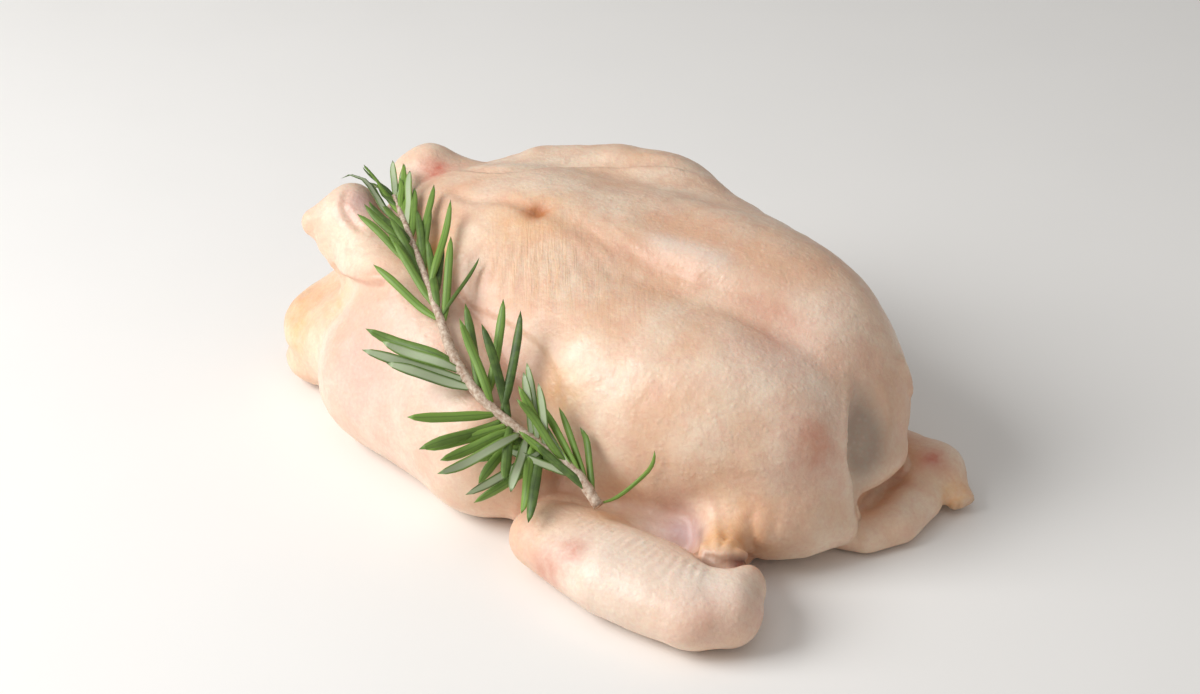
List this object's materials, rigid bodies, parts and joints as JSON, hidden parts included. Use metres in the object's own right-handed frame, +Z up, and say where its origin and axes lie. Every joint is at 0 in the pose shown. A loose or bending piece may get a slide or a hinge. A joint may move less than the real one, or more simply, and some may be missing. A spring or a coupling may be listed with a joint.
{
  "type": "whole raw chicken",
  "caption": "Whole raw oven-ready chicken lying on its back with legs and wings folded, a sprig of rosemary laid along one leg.",
  "frame": {"origin": "on the floor plane under the bird's ribs, in the flat patch of its back that it rests on", "axes": "+X from tail to neck, +Z up through the breast, -Y towards the side that carries the rosemary"},
  "size_m": [0.265, 0.1921, 0.0881],
  "materials": {
    "skin": "moist raw poultry skin, pale peach with pink and orange patches",
    "rosemary": "satin dark green needle leaves, paler beneath, on a brown woody stem"
  },
  "bodies": {
    "root": {"chicken": "skin", "rosemary_sprig": "rosemary"}
  },
  "joints": []
}
